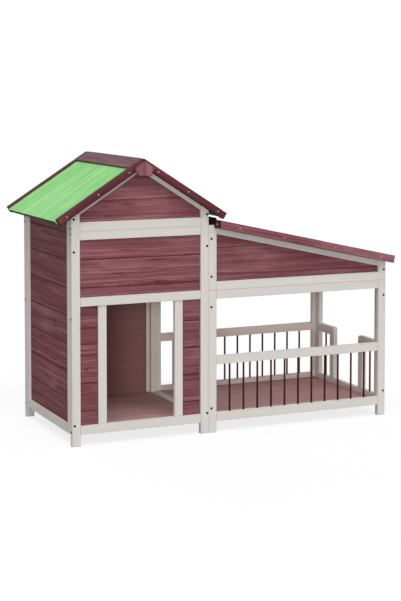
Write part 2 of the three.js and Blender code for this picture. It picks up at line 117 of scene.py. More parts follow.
def span_of(node, axis):
    """The two levels between which a CAD node lies along an axis."""
    low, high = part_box(node)
    return low[AXIS[axis]], high[AXIS[axis]]


def clip(outline, normal, limit):
    """The part of a convex outline where point . normal is at most limit."""
    height = outline @ np.array(normal, float) - limit
    made = []
    for here, there, a, b in zip(outline, np.roll(outline, -1, 0), height, np.roll(height, -1)):
        if a <= 0:
            made.append(here)
        if a * b < 0:
            made.append(here + (there - here) * a / (a - b))
    return hull(np.array(made))


def between(outline, low, high, axis=1):
    """The part of an outline between two levels of its first or second coordinate."""
    way = np.eye(2)[axis]
    return clip(clip(outline, way, high), -way, -low)


def rectangle(first, second):
    """The outline of a rectangle from its two spans."""
    (left, right), (bottom, top) = first, second
    return np.array([(left, bottom), (right, bottom), (right, top), (left, top)])


# ---------------------------------------------------------------- solid shapes
def inset(outline, distance):
    """Each side of an anticlockwise outline moved inwards, and the corners where the moved sides meet."""
    side = np.roll(outline, -1, 0) - outline
    side /= np.linalg.norm(side, axis=1)[:, None]
    out = np.stack([side[:, 1], -side[:, 0]], 1)
    before = np.roll(out, 1, 0)
    reach = 1 + (before * out).sum(1)
    return outline - distance * (before + out) / reach[:, None], before, out, np.roll(side, 1, 0), side


def ring_of(outline, drawn_in, margin):
    """One ring round an outline drawn in by a distance: at each corner a point before it, a short arc
    from one side's direction to the next, and a point after it."""
    centre, before, out, side_in, side_out = inset(outline, drawn_in + CORNER)
    share = np.linspace(0, 1, CORNER_STEPS + 1)[None, :, None]
    arc = before[:, None] * (1 - share) + out[:, None] * share
    arc /= np.linalg.norm(arc, axis=2)[:, :, None]
    arc = centre[:, None] + CORNER * arc
    first = centre + CORNER * before - margin * side_in
    last = centre + CORNER * out + margin * side_out
    return np.concatenate([first[:, None], arc, last[:, None]], 1).reshape(-1, 2)


def shortest_side(outline):
    """The length of an outline's shortest side."""
    return np.linalg.norm(np.roll(outline, -1, 0) - outline, axis=1).min()


def fits(outline, distance, margin):
    """True if an outline drawn in by a distance still turns the same way, with room for margins."""
    moved = inset(outline, distance + CORNER)[0]
    old, new = (np.roll(shape, -1, 0) - shape for shape in (outline, moved))
    along = (old * new).sum(1) / np.linalg.norm(old, axis=1)
    return bool((along > 2.2 * margin).all())


def prism(outline, span, carry, along, eases=(FRAME_EASE, FRAME_EASE), tone=None, edged=True):
    """A flat outline carried along an axis, with every edge eased. Ring after ring follows the outline:
    drawn in on the first face, round a quarter ellipse to the side, straight along it, and back on the
    other face. Grain coordinates are the place along, across and into the timber. The sides it is carried
    along take the finish's side colour, unless edged is False because they are the board's broad faces."""
    plane = list(PLANES[carry])
    if carry == "y":  # keeps the two axes and the carry axis right-handed
        plane = plane[::-1]
        outline = outline[:, ::-1]
    outline = hull(outline)
    margin = min(EDGE_MASK_MARGIN, 0.3 * (span[1] - span[0]), 0.2 * shortest_side(outline))
    deepest = max(eases[0][0], eases[1][0])
    while margin > 1e-5 and not fits(outline, deepest + margin, margin):
        margin *= 0.6
    scale = 1.0
    while scale > 0.05 and not fits(outline, deepest * scale, margin):
        scale *= 0.6
    quarter = np.radians([90, 60, 30, 0])
    depths, levels, ring_edge_mask = [], [], []
    for face, (across, into) in enumerate(eases):
        across = across * scale
        arris_in = across * (1 - np.cos(quarter))
        arris_level = into * (1 - np.sin(quarter))
        face_in = np.concatenate([[across + margin], arris_in, [0]])
        face_level = np.concatenate([[0], arris_level, [into + margin]])
        edge_mask = np.array([0, 0.7, 1, 1, 1, 0])
        if face:
            face_in, face_level, edge_mask = face_in[::-1], (span[1] - span[0]) - face_level[::-1], edge_mask[::-1]
        depths.append(face_in)
        levels.append(face_level)
        ring_edge_mask.append(edge_mask)
    depths, levels, ring_edge_mask = (np.concatenate(x) for x in (depths, levels, ring_edge_mask))
    rings = np.stack([ring_of(outline, d, margin) for d in depths])
    points = np.zeros((*rings.shape[:2], 3))
    points[:, :, plane[0]] = rings[:, :, 0]
    points[:, :, plane[1]] = rings[:, :, 1]
    points[:, :, AXIS[carry]] = span[0] + levels[:, None]
    point_edge_mask = np.tile([0] + [1] * (CORNER_STEPS + 1) + [0], len(outline))
    edge_mask = np.maximum(ring_edge_mask[:, None], point_edge_mask[None, :])
    flat_face = (ring_edge_mask == 0) & (depths > 0)
    edge_mask[flat_face] = 0
    side = ((depths == 0) & edged)[:, None] * np.ones(points.shape[1])[None, :]
    made = shell(points, along, AXIS[carry], edge_mask, side, tone)
    if abs(along[AXIS[carry]]) < 0.9:  # the two faces run with the grain
        made["end"].reshape(len(depths), -1)[flat_face] = 0
    return made


def shell(points, along, thin_axis, edge_mask, side, tone=None):
    """A grid of rings closed round and capped at both ends, with its grain coordinates and its edge mask, which
    the finishes colour as wear, and as painted shade and highlight on the roof trim and the green panel.
    """
    rings, around = points.shape[:2]
    index = np.arange(rings * around).reshape(rings, around)
    nxt = np.roll(index, -1, 1)
    quads = np.stack([index[:-1], nxt[:-1], nxt[1:], index[1:]], 2).reshape(-1, 4)
    flat = points.reshape(-1, 3)
    along = np.array(along, float)
    along /= np.linalg.norm(along)
    into = np.eye(3)[thin_axis]
    if abs(into @ along) > 0.9:  # carried along its own grain
        into = np.eye(3)[(thin_axis + 1) % 3]
    across = np.cross(into, along)
    middle = (flat.min(0) + flat.max(0)) / 2
    pith = (draw.uniform(-0.3, 0.3), draw.uniform(-0.05, 0.05), draw.uniform(0.02, 0.07))
    grain = np.stack([(flat - middle) @ way + shift for way, shift in zip((along, across, into), pith)], 1)
    reach = (flat - middle) @ along
    count = len(flat)
    return {
        "points": flat,
        "faces": quads.tolist() + [index[0, ::-1].tolist(), index[-1].tolist()],
        "grain": grain,
        "worn": edge_mask.reshape(-1),
        "side": side.reshape(-1),
        "end": ((reach > reach.max() - END_MARGIN) | (reach < reach.min() + END_MARGIN)).astype(float),
        "tone": np.full(count, draw.uniform(-1, 1) if tone is None else tone),
        "seed": np.full(count, draw.uniform(0, 40)),
        "round": np.zeros(len(quads) + 2, bool),
    }


def turned(profile, place, axis, sides, tone=None):
    """A profile of (radius, height) pairs turned about an axis through a place; both ends are capped."""
    profile = np.array(profile, float)
    angle = np.arange(sides) * 2 * math.pi / sides
    third = np.array(axis, float)
    third /= np.linalg.norm(third)
    first = np.cross(third, (0.0, 1.0, 0.0) if abs(third[1]) < 0.9 else (1.0, 0.0, 0.0))
    first /= np.linalg.norm(first)
    second = np.cross(third, first)
    circle = np.cos(angle)[:, None] * first + np.sin(angle)[:, None] * second
    points = np.array(place, float) + profile[:, :1, None] * circle[None] + profile[:, 1:, None] * third
    none = np.zeros(points.shape[:2])
    made = shell(points, third, int(np.argmax(np.abs(third))), none, none, tone)
    made["round"][:-2] = True
    return made


def piece(name, shells, material, body, slot, *nodes):
    """One Blender object made of closed shells, riding on a body and standing for CAD nodes."""
    start = np.cumsum([0] + [len(s["points"]) for s in shells])
    faces = [[v + first for v in face] for s, first in zip(shells, start) for face in s["faces"]]
    mesh = bpy.data.meshes.new(name)
    mesh.from_pydata(np.concatenate([s["points"] for s in shells]), [], faces)
    for key in ("worn", "side", "end", "tone", "seed"):
        values = np.concatenate([s[key] for s in shells]).astype(np.float32)
        mesh.attributes.new(key, "FLOAT", "POINT").data.foreach_set("value", values)
    grain = np.concatenate([s["grain"] for s in shells]).astype(np.float32)
    mesh.attributes.new("grain", "FLOAT_VECTOR", "POINT").data.foreach_set("vector", grain.ravel())
    mesh.polygons.foreach_set("use_smooth", np.concatenate([s["round"] for s in shells]))
    mesh.materials.append(material)
    mesh.update()
    thing = bpy.data.objects.new(name, mesh)
    bpy.context.scene.collection.objects.link(thing)
    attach(thing, body)
    if nodes:
        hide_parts(*nodes)


# ---------------------------------------------------------------- finishes
def srgb(*levels):
    """A colour written as 0 to 255 screen levels, as linear light with an alpha of 1."""
    value = np.array(levels) / 255
    linear = np.where(value <= 0.04045, value / 12.92, ((value + 0.055) / 1.055) ** 2.4)
    return (*linear.tolist(), 1.0)


class Finish:
    """A material and its node tree, with one short call for each kind of node."""

    def __init__(self, name):
        self.material = bpy.data.materials.new(name)
        self.material.use_nodes = True
        self.tree = self.material.node_tree
        self.shader = self.tree.nodes["Principled BSDF"]

    def node(self, kind, inputs=(), **settings):
        made = self.tree.nodes.new(kind)
        for key, value in settings.items():
            setattr(made, key, value)
        for key, value in dict(inputs).items():
            self.put(made.inputs[key], value)
        return made

    def put(self, socket, value):
        if isinstance(value, bpy.types.NodeSocket):
            self.tree.links.new(value, socket)
        else:
            socket.default_value = value

    def attribute(self, name, output="Fac"):
        return self.node("ShaderNodeAttribute", attribute_name=name).outputs[output]

    def math(self, operation, a, b=0.0, clamp=False):
        return self.node("ShaderNodeMath", {0: a, 1: b}, operation=operation, use_clamp=clamp).outputs[0]

    def scaled(self, vector, factors):
        return self.node("ShaderNodeVectorMath", {0: vector, 1: factors}, operation="MULTIPLY").outputs[0]

    def noise(self, vector, w, detail=3.0, roughness=0.55, distortion=0.0):
        values = {"Vector": vector, "W": w, "Scale": 1.0, "Detail": detail, "Roughness": roughness,
                  "Distortion": distortion}
        return self.node("ShaderNodeTexNoise", values, noise_dimensions="4D").outputs["Fac"]

    def between(self, value, low, high, to_low=0.0, to_high=1.0):
        values = {"Value": value, "From Min": low, "From Max": high, "To Min": to_low, "To Max": to_high}
        return self.node("ShaderNodeMapRange", values, interpolation_type="SMOOTHSTEP").outputs[0]

    def mix(self, share, a, b, kind="MIX"):
        made = self.node("ShaderNodeMix", data_type="RGBA", blend_type=kind)
        for number, value in ((0, share), (6, a), (7, b)):
            self.put(made.inputs[number], value)
        return made.outputs[2]

    def set(self, **values):
        for key, value in values.items():
            self.put(self.shader.inputs[key.replace("_", " ")], value)


def timber(name, base, dark, light, knot, edge, side, end, bands=0.5, streaks=0.5, dashes=0.3, lines=0.25,
           knots=0.3, blotch=0.16, shift=0.06, worn=0.5, roughness=0.62, relief=0.25, gloss=0.05):
    """Stained or washed pine, sawn along its grain. Bands, streaks and fibres are noise drawn out along the
    grain, each finer than the one before; dashes are the darkest parts of a fourth; pale lines follow one
    level of a slow noise; knots are small drawn-out cells; end grain shows rings round a pith."""
    f = Finish(name)
    place = f.attribute("grain", "Vector")
    seed = f.attribute("seed")
    split = f.node("ShaderNodeSeparateXYZ", {0: place})
    x, y, z = split.outputs

    cell_at = f.node("ShaderNodeCombineXYZ", {0: f.math("MULTIPLY", x, 5.5), 1: f.math("MULTIPLY", y, 17.0),
                                              2: f.math("MULTIPLY", seed, 9.7)}).outputs[0]
    cell = f.node("ShaderNodeTexVoronoi", {"Vector": cell_at, "Scale": 1.0, "Randomness": 0.9})
    cell_draw = f.node("ShaderNodeSeparateXYZ", {0: cell.outputs["Color"]}).outputs[0]
    chosen = f.math("LESS_THAN", cell_draw, knots)
    wobble = f.noise(f.scaled(place, (60, 160, 160)), seed, 2)
    distance = f.math("ADD", cell.outputs["Distance"], f.math("MULTIPLY", wobble, 0.02))
    knot_core = f.math("MULTIPLY", f.between(distance, 0.078, 0.038), chosen)
    knot_near = f.math("MULTIPLY", f.between(distance, 0.30, 0.06), chosen)

    sway = f.math("SUBTRACT", f.noise(f.scaled(place, (3.0, 9, 9)), seed, 2), 0.5)
    sway = f.math("ADD", f.math("MULTIPLY", sway, 0.012), f.math("MULTIPLY", knot_near, 0.004))
    flow = f.node("ShaderNodeCombineXYZ", {0: x, 1: f.math("ADD", y, sway), 2: z}).outputs[0]
    band = f.between(f.noise(f.scaled(flow, (1.5, 72, 72)), seed, 3, 0.6), 0.36, 0.68)
    streak = f.between(f.noise(f.scaled(flow, (3.6, 240, 240)), seed, 3, 0.6), 0.38, 0.66)
    fibre = f.noise(f.scaled(flow, (24, 760, 760)), seed, 2, 0.6)
    dash = f.between(f.noise(f.scaled(flow, (8, 120, 120)), f.math("ADD", seed, 7.3), 2, 0.5), 0.58, 0.70)
    slow = f.noise(f.scaled(flow, (0.35, 40, 40)), seed, 1, 0.5)
    line = f.between(f.math("ABSOLUTE", f.math("SUBTRACT", slow, 0.53)), 0.030, 0.006)
    line = f.math("MULTIPLY", line, f.between(fibre, 0.30, 0.55))
    cloud = f.noise(f.scaled(place, (3.6, 15, 15)), seed, 3, 0.5)

    colour = f.mix(f.math("MULTIPLY", band, bands), base, dark)
    colour = f.mix(f.math("MULTIPLY", streak, streaks), colour, dark)
    colour = f.mix(f.math("MULTIPLY", line, lines), colour, light)
    colour = f.mix(f.between(cloud, 0.48, 0.78, 0.0, 0.8 * lines), colour, light)
    colour = f.mix(f.math("MULTIPLY", dash, dashes), colour, knot)
    level = f.math("ADD", f.math("MULTIPLY", f.math("SUBTRACT", cloud, 0.5), 2.2 * blotch), 1.0)
    level = f.math("ADD", level, f.math("MULTIPLY", f.attribute("tone"), shift))
    level = f.math("ADD", level, f.math("MULTIPLY", f.math("SUBTRACT", fibre, 0.5), 1.1 * blotch + 0.05))
    grey = f.node("ShaderNodeCombineXYZ", {0: level, 1: level, 2: level}).outputs[0]
    colour = f.mix(1.0, colour, grey, "MULTIPLY")
    colour = f.mix(f.math("MULTIPLY", knot_core, 0.9), colour, knot)
    colour = f.mix(f.math("MULTIPLY", knot_near, 0.25), colour, knot)
    colour = f.mix(f.attribute("side"), colour, f.mix(0.75, colour, side))

    radius = f.math("SQRT", f.math("ADD", f.math("MULTIPLY", y, y), f.math("MULTIPLY", z, z)))
    ring = f.between(f.math("SINE", f.math("MULTIPLY", radius, 2 * math.pi / 0.0032)), -0.5, 1.0)
    cut = f.mix(f.math("MULTIPLY", ring, 0.35), end, (*[0.5 * c for c in end[:3]], 1.0))
    colour = f.mix(f.attribute("end"), colour, cut)
    # edges take the edge colour: wear on most finishes, painted shade on the roof trim, and a painted highlight on
    # the green panel
    edge_wear_and_light = f.math("MULTIPLY", f.attribute("worn"), f.between(cloud, 0.3, 0.7, 0.6 * worn, worn))
    edge_wear_and_light = f.math("MULTIPLY", edge_wear_and_light, f.between(f.attribute("end"), 0.0, 1.0, 1.0, 0.15))
    colour = f.mix(edge_wear_and_light, colour, edge)

    height = f.math("ADD", f.math("MULTIPLY", fibre, 0.6), f.math("MULTIPLY", streak, -0.4))
    height = f.math("SUBTRACT", height, f.math("MULTIPLY", knot_core, 0.5))
    bump = f.node("ShaderNodeBump", {"Height": height, "Strength": relief, "Distance": 0.0006})
    f.set(Base_Color=colour, Normal=bump.outputs[0],
          Roughness=f.between(streak, 0.0, 1.0, roughness, roughness + 0.12))
    f.shader.inputs["Specular IOR Level"].default_value = gloss
    return f.material


def steel(name, base, metallic, roughness, gloss=0.5):
    """Painted or plated steel with a fine orange peel and faint smears in its gloss."""
    f = Finish(name)
    where = f.node("ShaderNodeTexCoord").outputs["Object"]
    smear = f.noise(f.scaled(where, (60, 60, 60)), 0.0, 3)
    peel = f.noise(f.scaled(where, (1400, 1400, 1400)), 0.0, 2)
    colour = f.mix(f.between(smear, 0.3, 0.8, 0.0, 0.35), base, tuple(0.6 * c for c in base[:3]) + (1.0,))
    bump = f.node("ShaderNodeBump", {"Height": peel, "Strength": 0.15, "Distance": 0.0002})
    f.set(Base_Color=colour, Normal=bump.outputs[0],
          Roughness=f.between(smear, 0.25, 0.75, roughness, roughness + 0.15))
    f.shader.inputs["Metallic"].default_value = metallic
    f.shader.inputs["Specular IOR Level"].default_value = gloss
    return f.material


WASH = dict(bands=0.35, streaks=0.45, dashes=0.18, lines=0.15, knots=0.10, blotch=0.022, shift=0.012,
            worn=0.7, roughness=0.6, relief=0.16, gloss=0.12)
WHITEWASH = timber("whitewash", srgb(216, 213, 209), srgb(203, 198, 193), srgb(224, 222, 219),
                   srgb(180, 168, 162), srgb(206, 190, 186), srgb(212, 208, 204), srgb(196, 190, 184),
                   **WASH)
# painted light: a warmer, lighter copy of the whitewash, standing in for light bounced off the red-brown boards,
# on the partition frame and the run's back rails
WASH_WITH_PAINTED_BOUNCE = timber("pink_wash", srgb(224, 210, 204), srgb(210, 194, 187), srgb(230, 219, 214),
                   srgb(182, 162, 156), srgb(208, 188, 183), srgb(218, 204, 198), srgb(198, 184, 178),
                   **WASH)
RED_BROWN = timber("red_brown_stain", srgb(140, 87, 94), srgb(96, 46, 57), srgb(168, 120, 126),
                   srgb(76, 30, 41), srgb(52, 22, 29), srgb(80, 38, 47), srgb(72, 33, 41),
                   bands=0.55, streaks=0.42, dashes=0.6, lines=0.55, knots=0.30, blotch=0.12, shift=0.10,
                   worn=0.85, roughness=0.62, relief=0.3)
# the lining's brown stain is lightened as painted light, for the dim inside of the house
LINING_STAIN_AND_LIGHT = timber("lining_stain", srgb(140, 102, 100), srgb(124, 86, 85), srgb(150, 114, 112),
                      srgb(104, 64, 66), srgb(104, 68, 70), srgb(104, 68, 70), srgb(104, 68, 70),
                      bands=0.3, streaks=0.3, dashes=0.1, lines=0.1, knots=0.0, blotch=0.03, shift=0.02,
                      worn=0.5, roughness=0.7, relief=0.15)
# the near-black edge and side colours are painted shade along the barges' top edges and top faces; the near-black
# end colour is end grain and painted shade at the barge ends
ROOF_BROWN = timber("roof_trim_stain", srgb(112, 58, 67), srgb(70, 28, 36), srgb(144, 98, 103),
                    srgb(48, 20, 24), srgb(48, 22, 24), srgb(46, 23, 22), srgb(30, 15, 16),
                    bands=0.6, streaks=0.5, dashes=0.45, lines=0.5, knots=0.12, blotch=0.14, shift=0.05,
                    worn=0.8, roughness=0.58, relief=0.25)
# painted shade: a darker copy of the roof trim stain, standing in for the shade under the house's eave where the
# beam lies, with near-black end grain
BEAM_PAINTED_SHADE = timber("beam_stain", srgb(70, 36, 40), srgb(44, 20, 24), srgb(88, 54, 56),
                    srgb(30, 14, 16), srgb(40, 20, 22), srgb(44, 22, 24), srgb(26, 13, 15),
                    bands=0.5, streaks=0.4, dashes=0.3, lines=0.2, knots=0.1, blotch=0.1, shift=0.04,
                    worn=0.6, roughness=0.6, relief=0.25)
RIDGE_BROWN = timber("ridge_cap_stain", srgb(114, 80, 85), srgb(76, 45, 52), srgb(136, 106, 109),
                     srgb(70, 40, 46), srgb(70, 40, 44), srgb(66, 36, 40), srgb(54, 30, 33),
                     bands=0.4, streaks=0.5, dashes=0.25, lines=0.4, knots=0.1, blotch=0.1, shift=0.05,
                     worn=0.6, roughness=0.62, relief=0.25)
# the pale edge colour is a painted highlight along the panel's edges; the near-black end colour on the eave and
# ridge edges is end grain and painted shade, and the dark side colour is painted shade too
GREEN = timber("green_stain", srgb(144, 211, 132), srgb(108, 186, 102), srgb(190, 226, 178),
               srgb(116, 158, 84), srgb(184, 208, 158), srgb(46, 62, 30), srgb(44, 56, 28),
               bands=0.4, streaks=0.6, dashes=0.45, lines=0.55, knots=0.06, blotch=0.06, shift=0.03,
               worn=0.8, roughness=0.62, relief=0.2)
FLOOR_BROWN = timber("floor_stain", srgb(193, 149, 150), srgb(164, 116, 118), srgb(208, 172, 170),
                     srgb(128, 88, 90), srgb(140, 100, 102), srgb(140, 100, 102), srgb(120, 84, 86),
                     bands=0.4, streaks=0.35, dashes=0.2, lines=0.25, knots=0.1, blotch=0.07, shift=0.12,
                     worn=0.4, roughness=0.72, relief=0.2)
SPINDLE_BROWN = timber("spindle_stain", srgb(78, 37, 43), srgb(54, 23, 29), srgb(94, 54, 58),
                       srgb(44, 18, 23), srgb(70, 32, 38), srgb(70, 32, 38), srgb(50, 24, 29),
                       bands=0.4, streaks=0.4, dashes=0.2, lines=0.2, knots=0.0, blotch=0.1, shift=0.05,
                       worn=0.0, roughness=0.65, relief=0.2, gloss=0.0)
BLACK_STEEL = steel("black_screw_steel", srgb(12, 10, 11), 0.0, 0.7, gloss=0.06)
# the screws are pale zinc, and their pink tint is a painted reflection of the red-brown boards round them
PALE_STEEL = steel("zinc_screw_steel", srgb(196, 160, 162), 0.3, 0.45)
HINGE_STEEL = steel("hinge_steel", srgb(48, 40, 42), 0.7, 0.4)

X, Y, Z = (1, 0, 0), (0, 1, 0), (0, 0, 1)
WOOD_OF = {
    "whitewashed_wood": WHITEWASH, "red_brown_boards": RED_BROWN, "roof_trim_wood": ROOF_BROWN,
    "ridge_cap_wood": RIDGE_BROWN, "green_wood": GREEN, "floor_wood": FLOOR_BROWN,
}
SLOT_OF = {row["node"]: row["material_slot"] for row in frame["record"]["subparts"]}
BODY_OF = {node: body for body, members in frame["record"]["behaviour"]["bodies"].items() for node in members}


def wooden(name, shells, *nodes, material=None, slot=None):
    """A wooden piece that stands for CAD nodes, with the first one's body, and the finish of its slot unless a
    material is given.
    """
    slot = slot or SLOT_OF[nodes[0]]
    piece(name, shells, material or WOOD_OF[slot], BODY_OF[nodes[0]], slot, *nodes)


# ---------------------------------------------------------------- house frames
STICK = span_of("house_front_bottom_rail", "z")[1] - span_of("house_front_bottom_rail", "z")[0]
ridge_x = frame["joints"][0]["pos_m"][0]

for end in ("front", "back"):
    for side in ("left", "right"):
        node = f"house_{end}_{side}_post"
        wooden(f"{node}_timber", [prism(outline_of(node, "y"), span_of(node, "y"), "y", Z)], node)


def stick(node, along):
    """A straight stick in the box of a node, carried along its own grain."""
    first, second = (span_of(node, "xyz"[k]) for k in PLANES[along])
    return prism(rectangle(first, second), span_of(node, along), along, np.eye(3)[AXIS[along]])


LEVEL_RAILS = ("house_front_bottom_rail", "house_back_bottom_rail", "front_gable_rail", "back_gable_rail",
               "door_head_rail", "front_panel_top_rail", "run_front_bottom_rail", "run_front_top_rail",
               "run_back_top_rail")
for node in LEVEL_RAILS:
    wooden(f"{node}_timber", [stick(node, "x")], node)
UPRIGHTS = ("door_left_jamb", "door_right_jamb", "run_front_left_post", "run_front_right_post",
            "run_back_left_post", "run_back_right_post")
for node in UPRIGHTS:
    wooden(f"{node}_timber", [stick(node, "z")], node)

roof_fall = outline_of("roof_left_front_barge", "y")
low_end, high_end = roof_fall[np.argmin(roof_fall[:, 0])], roof_fall[np.argmax(roof_fall[:, 1])]
house_pitch = math.atan2(high_end[1] - low_end[1], high_end[0] - low_end[0])


def slope_way(side, pitch):
    """Direction down a slope that falls to the left (side -1) or to the right (side 1)."""
    return (side * math.cos(pitch), 0, -math.sin(pitch))


RAFTER_SHADE_TONE = -9.0  # painted shade: the rafters' wash is darkened to stand in for the shade under the barge boards and the fascia
for end in ("front", "back"):
    node = f"{end}_gable_rafters"
    for side, name in ((-1, "left"), (1, "right")):
        half = outline_of(node, "y", lambda c: (c[:, 0] - ridge_x) * side > -NEAR)
        rafter = prism(half, span_of(node, "y"), "y", slope_way(side, house_pitch), tone=RAFTER_SHADE_TONE)
        wooden(f"{end}_{name}_rafter", [rafter], node)


# ---------------------------------------------------------------- boards
def joints_of(node, depth, span):
    """Levels of a wall's V grooves: the corners that lie between its two faces."""
    found = corners(node)
    groove = (found[:, depth] > span[0] + FIT) & (found[:, depth] < span[1] - FIT)
    return sorted(set(np.round(found[groove][:, 2], 4)))


WALL_TONE_AND_SHADE = {"front_panel_boards": 0.2, "left_wall_boards": -1.4}  # how light a wall's planks are; the left wall's darker planks are painted shade, for a side turned from the lamps and shaded by the eave
USUAL_TONE = -0.75
TONE_SPREAD = 0.4  # each way, from plank to plank
TONGUE_TONE = -1
LEAST_PLANK = 0.002  # a lower strip at a wall's top or bottom is part of the next plank


def planks(node, carry, outer_first, outline=None, span=None):
    """A wall of level planks with V joints on its outer face and a tongue behind each joint."""
    outline = outline_of(node, carry) if outline is None else outline
    span = span or span_of(node, carry)
    eases = (PLANK_EASE, PLANK_BACK_EASE) if outer_first else (PLANK_BACK_EASE, PLANK_EASE)
    along = X if carry == "y" else Y
    bottom, top = outline[:, 1].min(), outline[:, 1].max()
    joints = [level for level in joints_of(node, AXIS[carry], span)
              if bottom + LEAST_PLANK < level < top - LEAST_PLANK]
    levels = [bottom, *joints, top]
    tone = WALL_TONE_AND_SHADE.get(node, USUAL_TONE)
    shells = [prism(between(outline, low, high), span, carry, along, eases,
                    tone + draw.uniform(-TONE_SPREAD, TONE_SPREAD))
              for low, high in zip(levels[:-1], levels[1:])]
    middle = (span[0] + span[1]) / 2
    core = (middle - TONGUE[1] / 2, middle + TONGUE[1] / 2)
    for level in levels[1:-1]:
        strip = between(outline, level - TONGUE[0], level + TONGUE[0])
        strip = between(strip, strip[:, 0].min() + FIT, strip[:, 0].max() - FIT, 0)
        shells.append(prism(strip, core, carry, along, (PLANK_BACK_EASE, PLANK_BACK_EASE), TONGUE_TONE))
    return shells


FRONT_BOARDS = ("front_gable_boards", "front_panel_boards", "door_left_boards", "door_right_boards",
                "run_front_gable_boards")
BACK_BOARDS = ("back_gable_boards", "run_back_gable_boards")
for node in FRONT_BOARDS:
    wooden(f"{node}_planks", planks(node, "y", True), node)
for node in BACK_BOARDS:
    wooden(f"{node}_planks", planks(node, "y", False), node)
BOARD = span_of("left_wall_boards", "x")[1] - span_of("left_wall_boards", "x")[0]
node = "back_wall_boards"
lining_y, outer_y = span_of(node, "y")
outer_outline = outline_of(node, "y", lambda c: c[:, 1] > outer_y - NEAR)
lining_outline = outline_of(node, "y", lambda c: c[:, 1] < lining_y + NEAR)
wooden(f"{node}_planks", planks(node, "y", False, outer_outline, (outer_y - BOARD, outer_y)), node)
wooden("back_wall_lining_sheet",
       [prism(lining_outline, (lining_y, lining_y + BOARD), "y", X, (PANEL_EASE, PANEL_EASE))],
       node, material=LINING_STAIN_AND_LIGHT)
wooden("left_wall_boards_planks", planks("left_wall_boards", "x", True), "left_wall_boards")
wooden("partition_boards_planks", planks("partition_boards", "x", False), "partition_boards")


# ---------------------------------------------------------------- side frames
def ring_frame(node):
    """The four sticks of a side frame: stiles at both ends, and rails between them."""
    outline = outline_of(node, "y")
    y0, y1 = span_of(node, "y")
    bottom, top = outline[:, 1].min(), outline[:, 1].max()
    inner = (y0 + STICK, y1 - STICK)
    return [
        prism(outline, (y0, y0 + STICK), "y", Z),
        prism(outline, (y1 - STICK, y1), "y", Z),
        prism(between(outline, bottom, bottom + STICK), inner, "y", Y),
        prism(between(outline, top - STICK, top), inner, "y", Y),
    ]


wooden("left_wall_frame_sticks", ring_frame("left_wall_frame"), "left_wall_frame")


def partition_sticks():
    """The frame between house and run: two narrow stiles, a top rail, a header, and a low sill that reaches
    under the run's left posts."""
    node = "partition_frame"
    left, sill_end = span_of(node, "x")
    right = span_of("house_front_right_post", "x")[1]
    outline = between(outline_of(node, "y"), left, right, 0)
    y0, y1 = span_of(node, "y")
    bottom, top = outline[:, 1].min(), outline[:, 1].max()
    sill = corners(node)
    sill_levels = (bottom, sill[sill[:, 0] > right + FIT][:, 2].max())
    boards_y = span_of("partition_boards", "y")
    inner = (boards_y[0] - FIT, boards_y[1] + FIT)
    stiles = [prism(outline, ends, "y", Z) for ends in ((y0, inner[0]), (inner[1], y1))]
    feet = [prism(rectangle((right, sill_end), sill_levels), ends, "y", Y)
            for ends in ((y0, inner[0]), (inner[1], y1))]
    return stiles + feet + [
        prism(rectangle((left, sill_end), sill_levels), inner, "y", Y),
        prism(rectangle((left, right), span_of("door_head_rail", "z")), inner, "y", Y),
        prism(between(outline, top - STICK, top), inner, "y", Y),
    ]


wooden("partition_frame_sticks", partition_sticks(), "partition_frame", material=WASH_WITH_PAINTED_BOUNCE)
wooden("run_side_frame_sticks", ring_frame("run_side_frame"), "run_side_frame")

for node in ("house_floor", "run_floor"):
    spans = [span_of(node, a) for a in "xyz"]
    # painted light: the house floor is lightened to stand in for light inside the dim house
    tone = 1.0 if node == "house_floor" else 0.0
    floor = prism(rectangle(spans[0], spans[1]), spans[2], "z", X, (PANEL_EASE, PANEL_EASE), tone)
    wooden(f"{node}_sheet", [floor], node)

# ---------------------------------------------------------------- house roof
for side, name in ((-1, "left"), (1, "right")):
    way = slope_way(side, house_pitch)
    node = f"roof_{name}_panel"
    wooden(f"{node}_sheet", [prism(outline_of(node, "y"), span_of(node, "y"), "y", way,
                                   (PANEL_EASE, PANEL_EASE), edged=False)], node)
    node = f"roof_{name}_ridge_cap"
    wooden(f"{node}_board", [prism(outline_of(node, "y"), span_of(node, "y"), "y", Y, edged=False)], node)
    for end in ("front", "back"):
        node = f"roof_{name}_{end}_barge"
        wooden(f"{node}_board", [prism(outline_of(node, "y"), span_of(node, "y"), "y", way)], node)
for end in ("front", "back"):
    node = f"{end}_ridge_plate"
    wooden(f"{node}_board", [prism(outline_of(node, "y"), span_of(node, "y"), "y", Z)], node,
           material=RED_BROWN)

# ---------------------------------------------------------------- run
post_inside = span_of("run_front_left_post", "x")[1]
far_inside = span_of("run_front_right_post", "x")[0]
rail_levels = span_of("run_front_bottom_rail", "z")
handrail_top = span_of("run_front_railing", "z")[1]
handrail_levels = (handrail_top - STICK, handrail_top)
run_fall = outline_of("run_roof_front_fascia", "y")
fall_low, fall_high = run_fall[np.argmax(run_fall[:, 0])], run_fall[np.argmax(run_fall[:, 1])]
run_pitch = math.atan2(fall_high[1] - fall_low[1], fall_low[0] - fall_high[0])
run_way = slope_way(1, run_pitch)


